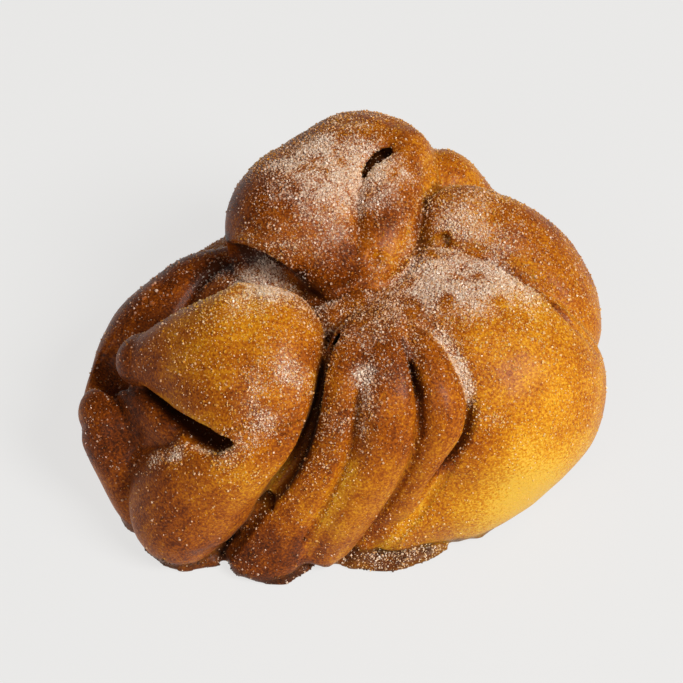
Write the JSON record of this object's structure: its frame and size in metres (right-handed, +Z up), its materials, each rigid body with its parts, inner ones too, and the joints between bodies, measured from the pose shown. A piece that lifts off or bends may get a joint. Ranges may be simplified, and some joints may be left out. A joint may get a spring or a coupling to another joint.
{
  "type": "cinnamon twist",
  "caption": "Knotted sweet bun of twisted dough strands with a glossy golden-brown crust, dusted with granulated sugar, flat underneath.",
  "frame": {"origin": "on the tray plane, under the middle of the bun's box", "axes": "+Z up, +X to the right along the bun's longest side, +Y away from the side with the open ridges"},
  "size_m": [0.1084, 0.093, 0.0548],
  "materials": {
    "crust": "baked sweet dough, egg-washed to a satin gloss, dark in the folds",
    "sugar": "loose granulated sugar grains",
    "caramel": "burnt sugar crumbs along the base"
  },
  "bodies": {
    "root": {"bun": "crust"}
  },
  "joints": []
}
